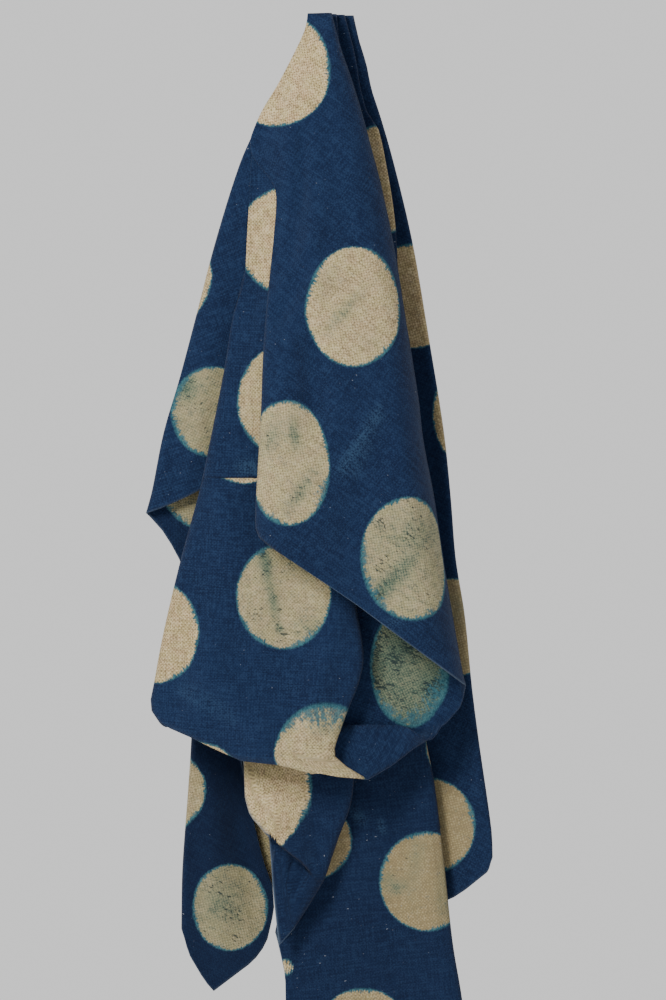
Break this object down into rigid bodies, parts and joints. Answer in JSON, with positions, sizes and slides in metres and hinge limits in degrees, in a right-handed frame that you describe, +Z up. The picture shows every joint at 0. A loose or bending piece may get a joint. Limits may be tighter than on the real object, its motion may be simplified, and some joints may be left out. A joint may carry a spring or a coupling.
{
  "type": "hung shibori dyed cloth",
  "caption": "Length of handwoven indigo cloth with large undyed discs, gathered at one point and hanging in layered pleats that fan out downwards.",
  "frame": {"origin": "the gathered peak, where the cloth is held", "axes": "+Z up, -Y towards the front of the hanging"},
  "size_m": [0.2178, 0.098, 0.6678],
  "materials": {
    "indigo_cotton": "matt plain weave with undyed cream discs"
  },
  "bodies": {
    "root": {"cloth": "indigo_cotton"}
  },
  "joints": []
}
